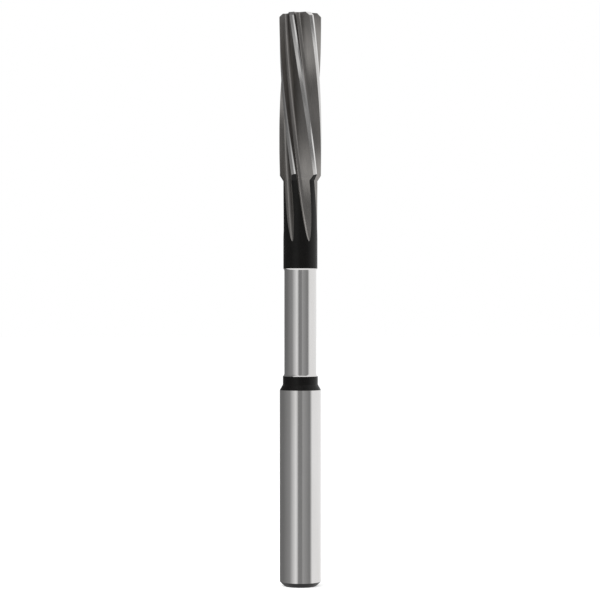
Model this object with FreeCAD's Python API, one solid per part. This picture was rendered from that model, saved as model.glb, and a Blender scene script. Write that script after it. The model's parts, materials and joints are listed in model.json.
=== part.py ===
"""Straight-shank machine reamer: one piece of high-speed steel, built the way it is made.

A bar is turned to one revolved blank, with a centre hole in each end. Six flutes are then cut
into the head on a left-hand helix, and run out on the neck where the wheel leaves the bar. The
lands are backed off behind a narrow round margin, and last the lead chamfer of each tooth is
ground with its own relief.

Frame: millimetres, +Z along the axis from the shank to the cutting end, origin at the centre of
the shank's end face. A heading is an angle in degrees about Z, from -Y (the front) towards +X.
"""
import FreeCAD
import Part
import math
import os

NODE = "machine_reamer"

# Lengths along the axis, from the shank end to the cutting end
OVERALL_LENGTH = 125.0
SHANK_LENGTH = 42.8
STEP_CONE_LENGTH = 1.2
BAND_LENGTH = 1.8
GROUND_NECK_LENGTH = 23.5
HEAD_LENGTH = 36.6

# Diameters
SHANK_DIAMETER = 9.0
BAND_DIAMETER = 7.65
GROUND_NECK_DIAMETER = 7.0
PLAIN_NECK_DIAMETER = 7.45
CUTTING_DIAMETER = 9.2
CORE_DIAMETER = 5.64

# Chamfers and corners of the turned blank
SHANK_CHAMFER = 1.0
LEAD_CHAMFER = 0.75
HEAD_BACK_ANGLE = 33.0
WHEEL_CORNER_RADIUS = 0.8

# Centre holes
CENTRE_PILOT_DIAMETER = 1.25
CENTRE_MOUTH_DIAMETER = 2.65
CENTRE_CONE_ANGLE = 60.0
CENTRE_PILOT_LENGTH = 1.6
DRILL_POINT_ANGLE = 118.0

# Teeth: spacing repeats after half a turn, so that opposite teeth can be measured across
FIRST_TOOTH_HEADING = -20.1
FIRST_SPACING = 56.8
SECOND_SPACING = 58.8
HALF_TURN = 180.0
HELIX_LEAD_LENGTH = 176.5

# Cross-section of a tooth and of the flute in front of it
RAKE_ANGLE = 3.0
MARGIN_WIDTH = 0.35
LAND_WIDTH = 1.05
LAND_RELIEF_ANGLE = 12.0
ROOT_RADIUS = 0.85
LEAD_RELIEF_ANGLE = 9.0

# How the flute wheel leaves the bar behind the head
FULL_DEPTH_LENGTH = 35.4
FLUTE_WHEEL_RADIUS = 114.0
WHEEL_EXIT_HEADING = 20.0
HEAD_SECTION_STEP = 3.0
RUN_OUT_SECTION_STEP = 1.5
CUTTER_REACH = 3.0

SHANK_RADIUS = SHANK_DIAMETER / 2
BAND_RADIUS = BAND_DIAMETER / 2
GROUND_NECK_RADIUS = GROUND_NECK_DIAMETER / 2
PLAIN_NECK_RADIUS = PLAIN_NECK_DIAMETER / 2
CUTTING_RADIUS = CUTTING_DIAMETER / 2
CORE_RADIUS = CORE_DIAMETER / 2
CONE_END = SHANK_LENGTH + STEP_CONE_LENGTH
BAND_END = CONE_END + BAND_LENGTH
GROUND_NECK_END = BAND_END + GROUND_NECK_LENGTH
HEAD_BACK = OVERALL_LENGTH - HEAD_LENGTH
FULL_DEPTH_END = OVERALL_LENGTH - FULL_DEPTH_LENGTH
AXIS = FreeCAD.Vector(0, 0, 1)


def at_heading(heading, radius, z=0.0):
    """Point at a heading from the front, a radius and a height."""
    turn = math.radians(heading)
    return FreeCAD.Vector(radius * math.sin(turn), -radius * math.cos(turn), z)


def in_plane(radius, z):
    """Point of the half-section that is revolved into the blank."""
    return FreeCAD.Vector(radius, 0, z)


def polyline(points):
    """Straight edges through points."""
    return [Part.makeLine(start, end) for start, end in zip(points, points[1:])]


def arc(start, middle, end):
    """Edge along the arc through three points."""
    return Part.Arc(start, middle, end).toShape()


def wheel_corner(step_radius, z, side):
    """Arc that the neck wheel's corner leaves from a larger radius down to the ground neck.

    side is +1 where the neck lies above the step at z, and -1 where it lies below.
    """
    depth = abs(step_radius - GROUND_NECK_RADIUS)
    sweep = math.acos(1 - depth / WHEEL_CORNER_RADIUS)
    run = WHEEL_CORNER_RADIUS * math.sin(sweep)
    sign = 1 if step_radius > GROUND_NECK_RADIUS else -1

    def on_corner(angle):
        radius = GROUND_NECK_RADIUS + sign * WHEEL_CORNER_RADIUS * (1 - math.cos(angle))
        return in_plane(radius, z + side * (run - WHEEL_CORNER_RADIUS * math.sin(angle)))

    return on_corner(sweep), on_corner(sweep / 2), on_corner(0)


def centre_hole_points(face_z, inward):
    """Half-section of a centre hole, from its mouth in a face to its bottom on the axis."""
    mouth = CENTRE_MOUTH_DIAMETER / 2
    pilot = CENTRE_PILOT_DIAMETER / 2
    cone_depth = (mouth - pilot) / math.tan(math.radians(CENTRE_CONE_ANGLE / 2))
    pilot_end = cone_depth + CENTRE_PILOT_LENGTH
    bottom = pilot_end + pilot / math.tan(math.radians(DRILL_POINT_ANGLE / 2))
    depths = [(mouth, 0), (pilot, cone_depth), (pilot, pilot_end), (0, bottom)]
    return [in_plane(radius, face_z + inward * depth) for radius, depth in depths]


def turned_blank():
    """Shank, step, necks and head as one revolved solid, before the flutes."""
    tail = [
        in_plane(SHANK_RADIUS - SHANK_CHAMFER, 0),
        in_plane(SHANK_RADIUS, SHANK_CHAMFER),
        in_plane(SHANK_RADIUS, SHANK_LENGTH),
        in_plane(BAND_RADIUS, CONE_END),
    ]
    lower = wheel_corner(BAND_RADIUS, BAND_END, 1)
    upper = wheel_corner(PLAIN_NECK_RADIUS, GROUND_NECK_END, -1)
    head_rise = CUTTING_RADIUS - PLAIN_NECK_RADIUS
    head_run = abs(head_rise) / math.tan(math.radians(HEAD_BACK_ANGLE))
    head = [
        in_plane(PLAIN_NECK_RADIUS, HEAD_BACK),
        in_plane(CUTTING_RADIUS, HEAD_BACK + head_run),
        in_plane(CUTTING_RADIUS, OVERALL_LENGTH - LEAD_CHAMFER),
        in_plane(CUTTING_RADIUS - LEAD_CHAMFER, OVERALL_LENGTH),
    ]
    shank_centre = centre_hole_points(0, 1)
    head_centre = centre_hole_points(OVERALL_LENGTH, -1)
    edges = polyline(shank_centre[::-1] + tail + [lower[0]])
    edges += [arc(*lower)]
    edges += polyline([lower[2], upper[2]])
    edges += [arc(*upper[::-1])]
    edges += polyline([upper[0]] + head + head_centre + [shank_centre[-1]])
    face = Part.Face(Part.Wire(edges))
    return face.revolve(FreeCAD.Vector(), AXIS, 360)


def tooth_headings():
    """Heading of each cutting edge at the cutting end, with the spacing to the next tooth."""
    spacings = [FIRST_SPACING, SECOND_SPACING, HALF_TURN - FIRST_SPACING - SECOND_SPACING]
    teeth = []
    heading = FIRST_TOOTH_HEADING
    for spacing in spacings * 2:
        teeth.append((heading, spacing))
        heading += spacing
    return teeth


def twist(z):
    """Turn of the left-hand helix at a height, counted from the cutting end."""
    return (OVERALL_LENGTH - z) * 360.0 / HELIX_LEAD_LENGTH


def direction(degrees):
    """Unit vector in the section plane, where X is the radius through the cutting edge."""
    return FreeCAD.Vector(math.cos(math.radians(degrees)), math.sin(math.radians(degrees)), 0)


def land_facet(spacing):
    """Backed-off flat of the next tooth's land, from the edge of its round margin to its heel."""
    margin_edge = spacing - math.degrees(MARGIN_WIDTH / CUTTING_RADIUS)
    start = direction(margin_edge) * CUTTING_RADIUS
    backwards = direction(margin_edge - 90 - LAND_RELIEF_ANGLE)
    return start, start + backwards * (LAND_WIDTH - MARGIN_WIDTH)


def root_centre():
    """Centre of the root radius, which touches the rake face and the core."""
    wall = direction(RAKE_ANGLE)
    off_wall = direction(RAKE_ANGLE + 90) * ROOT_RADIUS
    edge = direction(0) * CUTTING_RADIUS
    across = (edge + off_wall).dot(direction(RAKE_ANGLE + 90))
    along = math.sqrt((CORE_RADIUS + ROOT_RADIUS) ** 2 - across**2)
    return edge + off_wall + wall * (along - edge.dot(wall))


def flute_section(spacing):
    """Closed outline of one flute: rake face, root radius and flat floor out to the next heel."""
    edge = direction(0) * CUTTING_RADIUS
    wall = direction(RAKE_ANGLE)
    centre = root_centre()
    wall_end = centre - direction(RAKE_ANGLE + 90) * ROOT_RADIUS
    heel = land_facet(spacing)[1]
    to_heel = heel - centre
    heel_angle = math.degrees(math.atan2(to_heel.y, to_heel.x))
    touch_angle = heel_angle + math.degrees(math.acos(ROOT_RADIUS / to_heel.Length))
    floor_start = centre + direction(touch_angle) * ROOT_RADIUS
    root_angles = (RAKE_ANGLE - 90, touch_angle - 360)
    root_middle = centre + direction(sum(root_angles) / 2) * ROOT_RADIUS
    floor = (heel - floor_start).normalize()
    edges = polyline([edge + wall * CUTTER_REACH, wall_end])
    edges += [arc(wall_end, root_middle, floor_start)]
    edges += polyline([floor_start, heel + floor * CUTTER_REACH, edge + wall * CUTTER_REACH])
    return Part.Wire(edges)


def relief_section(spacing):
    """Closed outline of the wedge that is ground off behind the margin of the next tooth."""
    start, heel = land_facet(spacing)
    backwards = (heel - start).normalize()
    overshoot = heel + backwards * MARGIN_WIDTH
    outwards = direction(spacing) * CUTTER_REACH
    return Part.Wire(polyline([start, overshoot, overshoot + outwards, start + outwards, start]))


def wheel_lift(z):
    """How far the flute wheel has left the bar at a height."""
    past = max(FULL_DEPTH_END - z, 0)
    return FLUTE_WHEEL_RADIUS - math.sqrt(FLUTE_WHEEL_RADIUS**2 - past**2)


def head_heights(bottom):
    """Evenly spaced heights from above the cutting end down to a lower end in the head."""
    top = OVERALL_LENGTH + CUTTER_REACH
    steps = max(2, round((top - bottom) / HEAD_SECTION_STEP))
    return [top + (bottom - top) * step / steps for step in range(steps + 1)]


def run_out_heights():
    """Evenly spaced heights below full depth, until the wheel is clear of the neck."""
    depth = max(PLAIN_NECK_RADIUS - CORE_RADIUS, 0) / math.cos(math.radians(WHEEL_EXIT_HEADING))
    clear = depth + ROOT_RADIUS / 2
    length = math.sqrt(2 * FLUTE_WHEEL_RADIUS * clear - clear**2)
    steps = max(2, round(length / RUN_OUT_SECTION_STEP))
    return [FULL_DEPTH_END - length * (step + 1) / steps for step in range(steps)]


def helical_cutter(section, heading, heights):
    """Solid swept by a section that turns along the helix and lifts where the wheel leaves."""
    wires = []
    for z in heights:
        wire = section.copy()
        wire.translate(direction(WHEEL_EXIT_HEADING) * wheel_lift(z))
        wire.rotate(FreeCAD.Vector(), AXIS, heading + twist(z) - 90)
        wire.translate(AXIS * z)
        wires.append(wire)
    return Part.makeLoft(wires, True, False)


def lead_relief_cutter(heading):
    """Block whose lower face backs off the lead chamfer of one tooth behind its cutting edge."""
    radial = at_heading(heading, 1)
    forward = at_heading(heading + 90, 1)
    chamfer_normal = (radial + AXIS).normalize()
    along = (radial - AXIS).normalize()
    relief = math.radians(LEAD_RELIEF_ANGLE)
    normal = chamfer_normal * math.cos(relief) - forward * math.sin(relief)
    behind = forward * -math.cos(relief) - chamfer_normal * math.sin(relief)
    middle = at_heading(heading, CUTTING_RADIUS - LEAD_CHAMFER / 2, OVERALL_LENGTH - LEAD_CHAMFER / 2)
    half_length = LEAD_CHAMFER + MARGIN_WIDTH
    depth = LAND_WIDTH + MARGIN_WIDTH
    corners = [
        middle + along * half_length,
        middle - along * half_length,
        middle - along * half_length + behind * depth,
        middle + along * half_length + behind * depth,
    ]
    face = Part.Face(Part.makePolygon(corners + corners[:1]))
    return face.extrude(normal * LEAD_CHAMFER * 2)


def machine_reamer():
    """The finished reamer as one solid."""
    cutters = []
    for heading, spacing in tooth_headings():
        flute_heights = head_heights(FULL_DEPTH_END) + run_out_heights()
        cutters.append(helical_cutter(flute_section(spacing), heading, flute_heights))
        cutters.append(helical_cutter(relief_section(spacing), heading, head_heights(FULL_DEPTH_END)))
        cutters.append(lead_relief_cutter(heading))
    reamer = turned_blank().cut(cutters)
    return reamer.Solids[0]


os.makedirs("parts", exist_ok=True)
machine_reamer().exportStep(os.path.join("parts", NODE + ".step"))
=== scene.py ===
"""Looks of the machine reamer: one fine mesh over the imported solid, its finishes, and a soft studio.

Lengths are millimetres in the part's own frame, +Z from the shank to the cutting end, and become
metres where a mesh is made. A heading is an angle in degrees about Z, from -Y (the front) towards +X.
"""
import json
import math

import bmesh
import bpy
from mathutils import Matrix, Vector

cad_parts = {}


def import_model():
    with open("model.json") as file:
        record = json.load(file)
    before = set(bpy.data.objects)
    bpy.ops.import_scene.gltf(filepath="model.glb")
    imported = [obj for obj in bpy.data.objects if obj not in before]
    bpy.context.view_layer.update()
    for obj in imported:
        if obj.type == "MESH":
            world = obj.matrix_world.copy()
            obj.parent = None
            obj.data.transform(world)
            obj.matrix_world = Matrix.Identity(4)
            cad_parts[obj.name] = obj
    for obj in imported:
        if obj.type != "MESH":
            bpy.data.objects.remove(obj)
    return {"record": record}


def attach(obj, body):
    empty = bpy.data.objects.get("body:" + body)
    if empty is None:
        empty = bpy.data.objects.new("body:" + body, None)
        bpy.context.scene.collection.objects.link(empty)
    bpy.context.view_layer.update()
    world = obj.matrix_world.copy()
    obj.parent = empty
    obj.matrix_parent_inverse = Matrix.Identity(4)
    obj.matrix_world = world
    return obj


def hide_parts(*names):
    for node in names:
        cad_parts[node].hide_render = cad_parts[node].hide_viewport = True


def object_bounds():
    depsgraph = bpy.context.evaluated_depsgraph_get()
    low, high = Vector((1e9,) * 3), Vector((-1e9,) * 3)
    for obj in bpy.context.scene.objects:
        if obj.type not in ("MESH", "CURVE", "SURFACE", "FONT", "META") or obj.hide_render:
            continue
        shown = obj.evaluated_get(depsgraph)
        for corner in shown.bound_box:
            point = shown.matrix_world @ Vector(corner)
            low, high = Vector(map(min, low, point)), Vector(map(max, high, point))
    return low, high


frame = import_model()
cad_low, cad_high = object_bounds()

NODE = "machine_reamer"
MILLIMETRE = 0.001
SHANK_MOUNT = next(mount for mount in frame["record"]["mounts"] if mount["name"] == "shank")

# Lengths along the axis, from the shank end to the cutting end
OVERALL_LENGTH = (cad_high.z - cad_low.z) / MILLIMETRE
SHANK_LENGTH = 42.8
STEP_CONE_LENGTH = 1.2
BAND_LENGTH = 1.8
GROUND_NECK_LENGTH = 23.5
HEAD_LENGTH = 36.6

# Diameters
SHANK_DIAMETER = SHANK_MOUNT["dims"]["r_mm"] * 2
BAND_DIAMETER = 7.65
GROUND_NECK_DIAMETER = 7.0
PLAIN_NECK_DIAMETER = 7.45
CUTTING_DIAMETER = 9.2
CORE_DIAMETER = 5.64

# Chamfers, corners and centre holes of the turned blank
SHANK_CHAMFER = 1.0
LEAD_CHAMFER = 0.75
HEAD_BACK_ANGLE = 33.0
WHEEL_CORNER_RADIUS = 0.8
CENTRE_PILOT_DIAMETER = 1.25
CENTRE_MOUTH_DIAMETER = 2.65
CENTRE_CONE_ANGLE = 60.0
CENTRE_PILOT_LENGTH = 1.6
DRILL_POINT_ANGLE = 118.0

# Teeth: spacing repeats after half a turn
FIRST_TOOTH_HEADING = -20.1
FIRST_SPACING = 56.8
SECOND_SPACING = 58.8
HALF_TURN = 180.0
HELIX_LEAD_LENGTH = 176.5
RAKE_ANGLE = 3.0
MARGIN_WIDTH = 0.35
LAND_WIDTH = 1.05
LAND_RELIEF_ANGLE = 12.0
ROOT_RADIUS = 0.85
LEAD_RELIEF_ANGLE = 9.0

# How the flute wheel leaves the bar behind the head
FULL_DEPTH_LENGTH = 35.4
FLUTE_WHEEL_RADIUS = 114.0
WHEEL_EXIT_HEADING = 20.0

# How finely the mesh is cut
WALL_POINTS = 5
ROOT_POINTS = 18
FLOOR_POINTS = 12
FACET_POINTS = 5
ROUND_POINTS = 17
HEAD_ROW = 0.4
BACK_ROW = 0.1
LEAD_ROW = 0.055
TIP_ROW = 0.02
TIP_ROWS = 6
PLAIN_ROW = 4.0
CORNER_ROWS = 10
HOLE_POINTS = 60
SAME_POINT = 0.002
SHARP_ANGLE = 8.0

# Procedural marks: their noise, the range of it that counts, and the dullness of the black oxide
MARKS_DETAIL = 3.0
MARKS_ROUGHNESS = 0.55
NOISE_LOW = 0.3
NOISE_HIGH = 0.7
BLACK_SPECULAR = 0.22

# Camera: level and in front, with the whole reamer in view
CAMERA_DISTANCE = 459.0
CAMERA_HEIGHT = 62.45
CAMERA_SIDEWAYS = -0.085
CAMERA_LENS = 126.0
CAMERA_SENSOR = 36.0

# Studio: cards that stand in a ring round the reamer, seen only in its reflections.
# Each is its name, the headings where it starts and ends, and its brightness there.
STUDIO_CARDS = [
    ("left_back_card", -180, -110, 0.16, 0.18),
    ("left_card", -110, -60, 0.18, 0.30),
    ("left_softbox", -60, -24, 0.32, 0.90),
    ("left_softbox_edge", -24, -13, 0.90, 0.45),
    ("front_card", -13, 10.5, 0.25, 0.25),
    ("right_front_card", 10.5, 55, 0.40, 0.23),
    ("right_softbox_edge", 55, 68, 0.25, 0.90),
    ("right_softbox", 68, 166, 0.94, 0.97),
]
CARD_DISTANCE = 700.0
CARD_LOW = -400.0
CARD_HIGH = 1500.0
CARD_STEP = 2.0
FLOOR_SIZE = 6000.0
WORLD_LIGHT = 0.55
FLOOR_COLOUR = 0.8
FLOOR_GLOW = 0.62
FLOOR_ROUGHNESS = 0.9
LAMP_SIZE = 500.0
LAMP_PLACE = (-450.0, -500.0, 800.0)
LAMP_POWER = 4.0

SHANK_RADIUS = SHANK_DIAMETER / 2
BAND_RADIUS = BAND_DIAMETER / 2
GROUND_NECK_RADIUS = GROUND_NECK_DIAMETER / 2
PLAIN_NECK_RADIUS = PLAIN_NECK_DIAMETER / 2
CUTTING_RADIUS = CUTTING_DIAMETER / 2
CORE_RADIUS = CORE_DIAMETER / 2
CONE_END = SHANK_LENGTH + STEP_CONE_LENGTH
BAND_END = CONE_END + BAND_LENGTH
GROUND_NECK_END = BAND_END + GROUND_NECK_LENGTH
HEAD_BACK = OVERALL_LENGTH - HEAD_LENGTH
HEAD_RISE = CUTTING_RADIUS - PLAIN_NECK_RADIUS
HEAD_BACK_TOP = HEAD_BACK + HEAD_RISE / math.tan(math.radians(HEAD_BACK_ANGLE))
FULL_DEPTH_END = OVERALL_LENGTH - FULL_DEPTH_LENGTH
LEAD_START = OVERALL_LENGTH - LEAD_CHAMFER
LEAD_BACK_OFF = math.sqrt(2) * math.tan(math.radians(LEAD_RELIEF_ANGLE))
LEAD_RELIEF_START = LEAD_START - LEAD_BACK_OFF * (LAND_WIDTH + MARGIN_WIDTH)

# Finishes, in the order of the mesh's material slots
GROUND, BLACK, FLUTE, LAND = range(4)


def unit(degrees):
    """Unit vector in a section, where X is the radius through the cutting edge."""
    return Vector((math.cos(math.radians(degrees)), math.sin(math.radians(degrees))))


def heading_of(point):
    """Angle of a section's point ahead of the cutting edge."""
    return math.degrees(math.atan2(point.y, point.x))


def between(start, end, count):
    """Evenly spaced points or values from start to end, both included."""
    return [start + (end - start) * (step / (count - 1)) for step in range(count)]


def leaves_circle(start, towards, radius):
    """Where a ray that starts inside a circle about the axis leaves it."""
    along = start.dot(towards)
    reach = math.sqrt(max(along**2 + radius**2 - start.length_squared, 0.0))
    return start + towards * (reach - along)


# Shape of a tooth space


def tooth_spaces():
    """Heading of each cutting edge at the cutting end, with the spacing to the next one."""
    spacings = [FIRST_SPACING, SECOND_SPACING, HALF_TURN - FIRST_SPACING - SECOND_SPACING]
    heading = FIRST_TOOTH_HEADING
    spaces = []
    for spacing in spacings * 2:
        spaces.append((heading, spacing))
        heading += spacing
    return spaces


def root_centre():
    """Centre of the root radius, which touches the rake face and the core."""
    wall = unit(RAKE_ANGLE)
    ahead = unit(RAKE_ANGLE + 90)
    on_offset_wall = unit(0) * CUTTING_RADIUS + ahead * ROOT_RADIUS
    across = on_offset_wall.dot(ahead)
    along = math.sqrt((CORE_RADIUS + ROOT_RADIUS) ** 2 - across**2)
    return on_offset_wall + wall * (along - on_offset_wall.dot(wall))


def land_facet(spacing):
    """Backed-off flat of the next land: the edge of its round margin, and its heel."""
    margin_heading = spacing - math.degrees(MARGIN_WIDTH / CUTTING_RADIUS)
    margin_edge = unit(margin_heading) * CUTTING_RADIUS
    backwards = unit(margin_heading - 90 - LAND_RELIEF_ANGLE)
    return margin_edge, margin_edge + backwards * (LAND_WIDTH - MARGIN_WIDTH)


def wheel_lift(z):
    """How far the flute wheel has left the bar at a height."""
    past = max(FULL_DEPTH_END - z, 0.0)
    return FLUTE_WHEEL_RADIUS - math.sqrt(FLUTE_WHEEL_RADIUS**2 - past**2)


def run_out_end():
    """Height where the flute wheel has left the plain neck."""
    centre = root_centre()
    exit_way = unit(WHEEL_EXIT_HEADING)
    clear = leaves_circle(centre, exit_way, PLAIN_NECK_RADIUS + ROOT_RADIUS) - centre
    lift = clear.length
    return FULL_DEPTH_END - math.sqrt(2 * FLUTE_WHEEL_RADIUS * lift - lift**2)


RUN_OUT_END = run_out_end()


def floor_angle(centre, heel):
    """Angle about the root's centre where the root radius runs into the floor."""
    to_heel = heel - centre
    return heading_of(to_heel) + math.degrees(math.acos(ROOT_RADIUS / to_heel.length)) - 360


def uncut(centre, radius):
    """Outline of a flute that doesn't reach the blank: its four lists stay at one point."""
    lowest = centre.normalized() * radius
    counts = (WALL_POINTS, ROOT_POINTS, FLOOR_POINTS, FACET_POINTS)
    return [[lowest] * count for count in counts]


def root_arc(centre, heel, inside):
    """Points of the root radius inside the blank, from the rake face to the floor."""
    half_width = math.degrees(math.acos(max(inside, -1.0)))
    lowest_angle = heading_of(centre) - 180
    wall_side = min(RAKE_ANGLE - 90, lowest_angle + half_width)
    floor_side = max(floor_angle(centre, heel), lowest_angle - half_width)
    return [centre + unit(angle) * ROOT_RADIUS for angle in between(wall_side, floor_side, ROOT_POINTS)]


def cut_outline(spacing, radius, z):
    """Rake face, root, floor and next facet as four lists of points, trimmed to the blank's circle."""
    shift = unit(WHEEL_EXIT_HEADING) * wheel_lift(z)
    centre = root_centre() + shift
    margin_edge, heel = land_facet(spacing)
    inside = (centre.length_squared + ROOT_RADIUS**2 - radius**2) / (2 * ROOT_RADIUS * centre.length)
    if inside >= 1:
        return uncut(centre, radius)
    root = root_arc(centre, heel + shift, inside)
    wall_top = leaves_circle(root[0], unit(RAKE_ANGLE), radius)
    floor_end = leaves_circle(root[-1], (heel + shift - root[-1]).normalized(), radius)
    facet_end = floor_end
    if heel.length < radius and shift.length == 0:
        floor_end = heel
        facet_end = leaves_circle(heel, (margin_edge - heel).normalized(), radius)
        if margin_edge.length < radius + SAME_POINT:
            facet_end = margin_edge
    wall = between(wall_top, root[0], WALL_POINTS)
    floor = between(root[-1], floor_end, FLOOR_POINTS)
    return [wall, root, floor, between(floor_end, facet_end, FACET_POINTS)]


def backed_off(point, spacing, z):
    """A land's point, moved in where the lead chamfer's relief has taken the steel away."""
    if z < LEAD_RELIEF_START:
        return point
    edge_way = unit(spacing)
    radial = point.dot(edge_way)
    forward = point.dot(unit(spacing + 90))
    chamfer_radius = CUTTING_RADIUS + LEAD_START - z
    allowed = chamfer_radius / (radial - LEAD_BACK_OFF * forward)
    return point * min(allowed, 1.0)


def section(radius, z):
    """Points round the whole tool at a height, as (position, finish of the strip that starts there)."""
    cuts = [cut_outline(spacing, radius, z) for _, spacing in tooth_spaces()]
    twist = (OVERALL_LENGTH - max(z, RUN_OUT_END)) * 360 / HELIX_LEAD_LENGTH
    points = []
    for index, (heading, spacing) in enumerate(tooth_spaces()):
        wall, root, floor, facet = cuts[index]
        next_wall = cuts[(index + 1) % len(cuts)][0]
        last_heading = spacing + heading_of(next_wall[0])
        headings = between(heading_of(facet[-1]), last_heading, ROUND_POINTS)
        facet = [backed_off(point, spacing, z) for point in facet]
        rounded = [backed_off(unit(angle) * radius, spacing, z) for angle in headings]
        strips = [(wall, FLUTE), (root, FLUTE), (floor, FLUTE), (facet, LAND), (rounded, GROUND)]
        for strip, finish in strips:
            points += [(turned(point, heading + twist, z), finish) for point in strip[:-1]]
    return points


def turned(point, heading, z):
    """Position in the part's frame of a section's point, whose X axis is at a heading."""
    turn = math.radians(heading + heading_of(point))
    return Vector((point.length * math.sin(turn), -point.length * math.cos(turn), z))


# Rows of the mesh, from the shank end to the cutting end


def heights(start, end, step):
    """Evenly spaced heights from start up to, but without, end."""
    count = max(1, math.ceil((end - start) / step))
    return between(start, end, count + 1)[:-1]


def wheel_corner(step_radius, z, side):
    """Heights and radii of the neck wheel's corner, from a larger radius down to the ground neck."""
    depth = step_radius - GROUND_NECK_RADIUS
    sweep = math.acos(1 - depth / WHEEL_CORNER_RADIUS)
    run = WHEEL_CORNER_RADIUS * math.sin(sweep)
    corner = []
    for angle in between(sweep, 0.0, CORNER_ROWS):
        radius = GROUND_NECK_RADIUS + WHEEL_CORNER_RADIUS * (1 - math.cos(angle))
        corner.append((z + side * (run - WHEEL_CORNER_RADIUS * math.sin(angle)), radius))
    return corner


def profile():
    """Height, radius and finish of each row, where the finish belongs to the blank above the row."""
    lower = wheel_corner(BAND_RADIUS, BAND_END, 1)
    upper = wheel_corner(PLAIN_NECK_RADIUS, GROUND_NECK_END, -1)[::-1]
    rows = [(0.0, SHANK_RADIUS - SHANK_CHAMFER, BLACK)]
    rows += [(z, SHANK_RADIUS, GROUND) for z in heights(SHANK_CHAMFER, SHANK_LENGTH, PLAIN_ROW)]
    rows += [(SHANK_LENGTH, SHANK_RADIUS, BLACK), (CONE_END, BAND_RADIUS, BLACK)]
    rows += [(z, radius, GROUND) for z, radius in lower[:-1]]
    rows += [(z, GROUND_NECK_RADIUS, GROUND) for z in heights(lower[-1][0], upper[0][0], PLAIN_ROW)]
    rows += [(z, radius, GROUND) for z, radius in upper[:-1]]
    rows += [(GROUND_NECK_END, PLAIN_NECK_RADIUS, BLACK)]
    tip_heights = [RUN_OUT_END + TIP_ROW * step**2 for step in range(TIP_ROWS)]
    neck_heights = tip_heights[:-1] + heights(tip_heights[-1], HEAD_BACK, HEAD_ROW)
    rows += [(z, PLAIN_NECK_RADIUS, BLACK) for z in neck_heights]
    slope = HEAD_RISE / (HEAD_BACK_TOP - HEAD_BACK)
    for z in heights(HEAD_BACK, HEAD_BACK_TOP, BACK_ROW):
        rows.append((z, PLAIN_NECK_RADIUS + (z - HEAD_BACK) * slope, BLACK))
    rows += [(z, CUTTING_RADIUS, GROUND) for z in heights(HEAD_BACK_TOP, LEAD_RELIEF_START, HEAD_ROW)]
    rows += [(z, CUTTING_RADIUS, GROUND) for z in heights(LEAD_RELIEF_START, LEAD_START, LEAD_ROW)]
    for z in heights(LEAD_START, OVERALL_LENGTH, LEAD_ROW) + [OVERALL_LENGTH]:
        rows.append((z, CUTTING_RADIUS + LEAD_START - z, GROUND))
    return rows


def centre_hole_rings(face_z, inward):
    """Height and radius of a centre hole's rings, and the height of the drill's point."""
    mouth = CENTRE_MOUTH_DIAMETER / 2
    pilot = CENTRE_PILOT_DIAMETER / 2
    cone_depth = (mouth - pilot) / math.tan(math.radians(CENTRE_CONE_ANGLE / 2))
    pilot_end = cone_depth + CENTRE_PILOT_LENGTH
    point_depth = pilot / math.tan(math.radians(DRILL_POINT_ANGLE / 2))
    depths = [(0, mouth), (cone_depth, pilot), (pilot_end, pilot)]
    rings = [(face_z + inward * depth, radius) for depth, radius in depths]
    return rings, face_z + inward * (pilot_end + point_depth)


# Mesh


def add_side(mesh, marks):
    """The tool's whole outside, row by row, with the marks' coordinates in millimetres."""
    rows = profile()
    rings = []
    for z, radius, _ in rows:
        points = section(radius, z)
        rings.append([(mesh.verts.new(place * MILLIMETRE), strip) for place, strip in points])
    for lower, upper, (_, _, finish) in zip(rings, rings[1:], rows):
        travelled = 0.0
        for column, (corner, strip) in enumerate(lower):
            following = (column + 1) % len(lower)
            corners = (corner, lower[following][0], upper[following][0], upper[column][0])
            face = mesh.faces.new(corners)
            face.material_index = finish if strip == GROUND else strip
            width = (corners[1].co - corners[0].co).length / MILLIMETRE
            sides = (travelled, travelled + width, travelled + width, travelled)
            for loop, across in zip(face.loops, sides):
                loop[marks].uv = (across, loop.vert.co.z / MILLIMETRE)
            travelled += width


def add_centre_hole(mesh, face_z, inward):
    """A centre hole's cone, pilot and drill point."""
    rings, bottom = centre_hole_rings(face_z, inward)
    turns = [math.tau * step / HOLE_POINTS for step in range(HOLE_POINTS)]
    made = []
    for z, radius in rings:
        places = [Vector((radius * math.cos(turn), radius * math.sin(turn), z)) for turn in turns]
        made.append([mesh.verts.new(place * MILLIMETRE) for place in places])
    apex = mesh.verts.new(Vector((0, 0, bottom)) * MILLIMETRE)
    for column in range(HOLE_POINTS):
        following = (column + 1) % HOLE_POINTS
        for outer, inner in zip(made, made[1:]):
            mesh.faces.new((outer[column], outer[following], inner[following], inner[column]))
        mesh.faces.new((made[-1][column], made[-1][following], apex))


def boundary_edges(mesh, z):
    """Edges of the open rings that lie at a height."""
    height = z * MILLIMETRE
    open_edges = [edge for edge in mesh.edges if edge.is_boundary]
    return [
        edge
        for edge in open_edges
        if all(abs(vertex.co.z - height) < SAME_POINT * MILLIMETRE for vertex in edge.verts)
    ]


def reamer_mesh():
    """The whole tool as one closed mesh, with its finishes as material slots."""
    mesh = bmesh.new()
    marks = mesh.loops.layers.uv.new("marks")
    add_side(mesh, marks)
    add_centre_hole(mesh, 0.0, 1)
    add_centre_hole(mesh, OVERALL_LENGTH, -1)
    bmesh.ops.remove_doubles(mesh, verts=mesh.verts, dist=SAME_POINT * MILLIMETRE)
    bmesh.ops.dissolve_degenerate(mesh, edges=mesh.edges, dist=SAME_POINT * MILLIMETRE / 10)
    for z in (0.0, OVERALL_LENGTH):
        filled = bmesh.ops.triangle_fill(mesh, edges=boundary_edges(mesh, z), use_beauty=True)
        for face in filled["geom"]:
            if isinstance(face, bmesh.types.BMFace):
                face.material_index = GROUND
    bmesh.ops.recalc_face_normals(mesh, faces=mesh.faces)
    for face in mesh.faces:
        face.smooth = True
    return mesh


# Finishes


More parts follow.
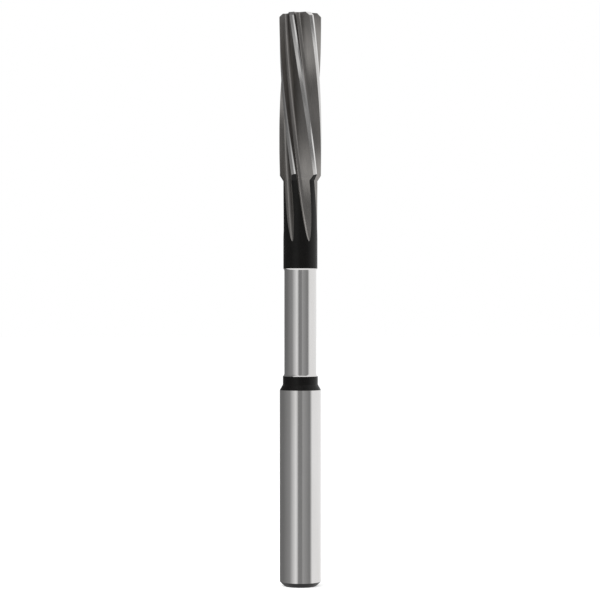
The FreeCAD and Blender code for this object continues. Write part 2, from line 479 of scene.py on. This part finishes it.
def node(tree, kind, **settings):
    """A new shader node with its settings and the values of its sockets."""
    made = tree.nodes.new(kind)
    for name, value in settings.items():
        if hasattr(made, name):
            setattr(made, name, value)
        else:
            made.inputs[name.replace("_", " ")].default_value = value
    return made


def marks_texture(tree, coordinate, scale):
    """Noise stretched into marks: the scale is the number of marks in a millimetre along each axis."""
    place = node(tree, "ShaderNodeTexCoord")
    stretch = node(tree, "ShaderNodeMapping")
    stretch.inputs["Scale"].default_value = scale
    noise = node(tree, "ShaderNodeTexNoise", Scale=1.0, Detail=MARKS_DETAIL, Roughness=MARKS_ROUGHNESS)
    tree.links.new(place.outputs[coordinate], stretch.inputs["Vector"])
    tree.links.new(stretch.outputs["Vector"], noise.inputs["Vector"])
    return noise.outputs["Fac"]


def spread(tree, value, low, high):
    """Maps a noise value to a range."""
    mapped = node(tree, "ShaderNodeMapRange")
    mapped.inputs["From Min"].default_value = NOISE_LOW
    mapped.inputs["From Max"].default_value = NOISE_HIGH
    mapped.inputs["To Min"].default_value = low
    mapped.inputs["To Max"].default_value = high
    tree.links.new(value, mapped.inputs["Value"])
    return mapped.outputs["Result"]


def blended(tree, value, first, second):
    """Colour between two colours by a value."""
    mix = node(tree, "ShaderNodeMix", data_type="RGBA")
    colours = [socket for socket in mix.inputs if socket.type == "RGBA"]
    colours[0].default_value = (*first, 1)
    colours[1].default_value = (*second, 1)
    tree.links.new(value, mix.inputs["Factor"])
    return next(socket for socket in mix.outputs if socket.type == "RGBA")


def finish_material(name, metallic, colours, roughness, marks, cloud, depth):
    """A surface whose fine marks change its roughness and relief, and whose broad clouds its colour."""
    material = bpy.data.materials.new(name)
    material.use_nodes = True
    tree = material.node_tree
    shader = tree.nodes["Principled BSDF"]
    shader.inputs["Metallic"].default_value = metallic
    fine = marks_texture(tree, *marks)
    broad = marks_texture(tree, *cloud)
    tree.links.new(spread(tree, fine, *roughness), shader.inputs["Roughness"])
    tree.links.new(blended(tree, spread(tree, broad, 0.0, 1.0), *colours), shader.inputs["Base Color"])
    bump = node(tree, "ShaderNodeBump", Strength=1.0, Distance=depth * MILLIMETRE)
    tree.links.new(fine, bump.inputs["Height"])
    tree.links.new(bump.outputs["Normal"], shader.inputs["Normal"])
    return material


def per_metre(*per_millimetre):
    """Scale of object coordinates, which are metres, from marks in a millimetre."""
    return tuple(value / MILLIMETRE for value in per_millimetre)


def ground_steel():
    """Bright ground steel, with fine grinding marks round the axis."""
    return finish_material(
        "ground_steel",
        metallic=1.0,
        colours=[(0.76, 0.75, 0.745), (0.72, 0.71, 0.70)],
        roughness=(0.08, 0.16),
        marks=("Object", per_metre(0.15, 0.15, 12.0)),
        cloud=("Object", per_metre(0.3, 0.3, 0.05)),
        depth=0.0004,
    )


def black_oxide():
    """Black oxide that is left on the surfaces that weren't ground after hardening."""
    material = finish_material(
        "black_oxide",
        metallic=0.0,
        colours=[(0.003, 0.0028, 0.0025), (0.005, 0.0046, 0.004)],
        roughness=(0.34, 0.46),
        marks=("Object", per_metre(6.0, 6.0, 9.0)),
        cloud=("Object", per_metre(0.6, 0.6, 0.4)),
        depth=0.002,
    )
    shader = material.node_tree.nodes["Principled BSDF"]
    shader.inputs["Specular IOR Level"].default_value = BLACK_SPECULAR
    return material


def flute_steel():
    """Dull milled steel in the flutes, with marks along the helix."""
    return finish_material(
        "flute_steel",
        metallic=1.0,
        colours=[(0.34, 0.325, 0.31), (0.27, 0.26, 0.25)],
        roughness=(0.24, 0.36),
        marks=("UV", (9.0, 0.12, 1.0)),
        cloud=("UV", (0.8, 0.15, 1.0)),
        depth=0.002,
    )


def land_steel():
    """Ground steel of the backed-off lands, with coarser marks along the tooth."""
    return finish_material(
        "land_steel",
        metallic=1.0,
        colours=[(0.66, 0.65, 0.64), (0.56, 0.55, 0.54)],
        roughness=(0.16, 0.28),
        marks=("UV", (10.0, 0.15, 1.0)),
        cloud=("UV", (1.5, 0.1, 1.0)),
        depth=0.001,
    )


def reamer():
    """The dressed reamer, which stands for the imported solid."""
    shape = reamer_mesh()
    data = bpy.data.meshes.new("reamer_body")
    shape.to_mesh(data)
    shape.free()
    for make in (ground_steel, black_oxide, flute_steel, land_steel):
        data.materials.append(make())
    data.set_sharp_from_angle(angle=math.radians(SHARP_ANGLE))
    piece = bpy.data.objects.new("reamer_body", data)
    bpy.context.scene.collection.objects.link(piece)
    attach(piece, "root")
    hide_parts(NODE)


# Studio


def stage_mesh(name, vertices, faces, material, across=None):
    """A piece of the studio, as mesh data and an object that isn't part of the reamer."""
    data = bpy.data.meshes.new(name)
    data.from_pydata([Vector(place) * MILLIMETRE for place in vertices], [], faces)
    if across:
        layer = data.uv_layers.new(name="across")
        for loop in data.loops:
            layer.data[loop.index].uv = (across[loop.vertex_index], 0.5)
    data.materials.append(material)
    piece = bpy.data.objects.new(name, data)
    bpy.context.scene.collection.objects.link(piece)
    return piece


def card_material(name, start_light, end_light):
    """Light whose strength changes evenly from one side of a card to the other."""
    material = bpy.data.materials.new(name)
    material.use_nodes = True
    tree = material.node_tree
    tree.nodes.clear()
    place = node(tree, "ShaderNodeTexCoord")
    split = node(tree, "ShaderNodeSeparateXYZ")
    strength = node(tree, "ShaderNodeMapRange")
    strength.inputs["To Min"].default_value = start_light
    strength.inputs["To Max"].default_value = end_light
    glow = node(tree, "ShaderNodeEmission")
    output = node(tree, "ShaderNodeOutputMaterial")
    tree.links.new(place.outputs["UV"], split.inputs["Vector"])
    tree.links.new(split.outputs["X"], strength.inputs["Value"])
    tree.links.new(strength.outputs["Result"], glow.inputs["Strength"])
    tree.links.new(glow.outputs["Emission"], output.inputs["Surface"])
    return material


def studio_card(name, start, end, start_light, end_light):
    """Tall curved card of the ring round the reamer, which only reflections show."""
    columns = max(2, round((end - start) / CARD_STEP)) + 1
    vertices = []
    across = []
    for share in between(0.0, 1.0, columns):
        turn = math.radians(start + (end - start) * share)
        x, y = CARD_DISTANCE * math.sin(turn), -CARD_DISTANCE * math.cos(turn)
        vertices += [(x, y, CARD_LOW), (x, y, CARD_HIGH)]
        across += [share, share]
    faces = [(2 * i, 2 * i + 2, 2 * i + 3, 2 * i + 1) for i in range(columns - 1)]
    material = card_material(name, start_light, end_light)
    card = stage_mesh(name, vertices, faces, material, across)
    card.visible_camera = False
    card.visible_diffuse = False
    card.visible_transmission = False
    card.visible_shadow = False


def floor_material():
    """Pale floor that is white to the camera, apart from the reamer's own soft shadow."""
    material = bpy.data.materials.new("pale_floor")
    material.use_nodes = True
    tree = material.node_tree
    shader = tree.nodes["Principled BSDF"]
    shader.inputs["Base Color"].default_value = (FLOOR_COLOUR, FLOOR_COLOUR, FLOOR_COLOUR, 1)
    shader.inputs["Roughness"].default_value = FLOOR_ROUGHNESS
    shader.inputs["Specular IOR Level"].default_value = 0.0
    path = node(tree, "ShaderNodeLightPath")
    glow = node(tree, "ShaderNodeMath", operation="MULTIPLY")
    glow.inputs[1].default_value = FLOOR_GLOW
    tree.links.new(path.outputs["Is Camera Ray"], glow.inputs[0])
    shader.inputs["Emission Color"].default_value = (1, 1, 1, 1)
    tree.links.new(glow.outputs["Value"], shader.inputs["Emission Strength"])
    return material


def floor():
    """Floor under the shank end. The reamer's reflections don't show it."""
    half = FLOOR_SIZE / 2
    corners = [(-half, -half, 0), (half, -half, 0), (half, half, 0), (-half, half, 0)]
    plane = stage_mesh("floor", corners, [(0, 1, 2, 3)], floor_material())
    plane.visible_glossy = False


def world():
    """Even light from all round, and white where the camera or a reflection looks past the cards."""
    surroundings = bpy.data.worlds.new("studio")
    surroundings.use_nodes = True
    tree = surroundings.node_tree
    background = tree.nodes["Background"]
    background.inputs["Color"].default_value = (1, 1, 1, 1)
    path = node(tree, "ShaderNodeLightPath")
    seen = node(tree, "ShaderNodeMath", operation="MAXIMUM")
    seen_through = node(tree, "ShaderNodeMath", operation="MAXIMUM")
    strength = node(tree, "ShaderNodeMapRange")
    strength.inputs["To Min"].default_value = WORLD_LIGHT
    strength.inputs["To Max"].default_value = 1.0
    tree.links.new(path.outputs["Is Camera Ray"], seen.inputs[0])
    tree.links.new(path.outputs["Is Glossy Ray"], seen.inputs[1])
    tree.links.new(seen.outputs["Value"], seen_through.inputs[0])
    tree.links.new(path.outputs["Is Transmission Ray"], seen_through.inputs[1])
    tree.links.new(seen_through.outputs["Value"], strength.inputs["Value"])
    tree.links.new(strength.outputs["Result"], background.inputs["Strength"])
    bpy.context.scene.world = surroundings


def lamp():
    """Large soft lamp above and in front, to the left."""
    light = bpy.data.lights.new("soft_lamp", "AREA")
    light.size = LAMP_SIZE * MILLIMETRE
    light.energy = LAMP_POWER
    holder = bpy.data.objects.new("soft_lamp", light)
    holder.location = Vector(LAMP_PLACE) * MILLIMETRE
    middle = Vector((0, 0, OVERALL_LENGTH / 2)) * MILLIMETRE
    holder.rotation_euler = (middle - holder.location).to_track_quat("-Z", "Y").to_euler()
    holder.visible_glossy = False
    bpy.context.scene.collection.objects.link(holder)


def camera():
    """Level camera in front of the reamer."""
    lens = bpy.data.cameras.new("camera")
    lens.lens = CAMERA_LENS
    lens.sensor_width = CAMERA_SENSOR
    lens.clip_start = CAMERA_DISTANCE / 100 * MILLIMETRE
    lens.clip_end = FLOOR_SIZE * 2 * MILLIMETRE
    holder = bpy.data.objects.new("camera", lens)
    holder.location = Vector((CAMERA_SIDEWAYS, -CAMERA_DISTANCE, CAMERA_HEIGHT)) * MILLIMETRE
    holder.rotation_euler = (math.radians(90), 0, 0)
    bpy.context.scene.collection.objects.link(holder)
    bpy.context.scene.camera = holder


reamer()
floor()
for card in STUDIO_CARDS:
    studio_card(*card)
world()
lamp()
camera()
bpy.context.scene.view_settings.view_transform = "Standard"
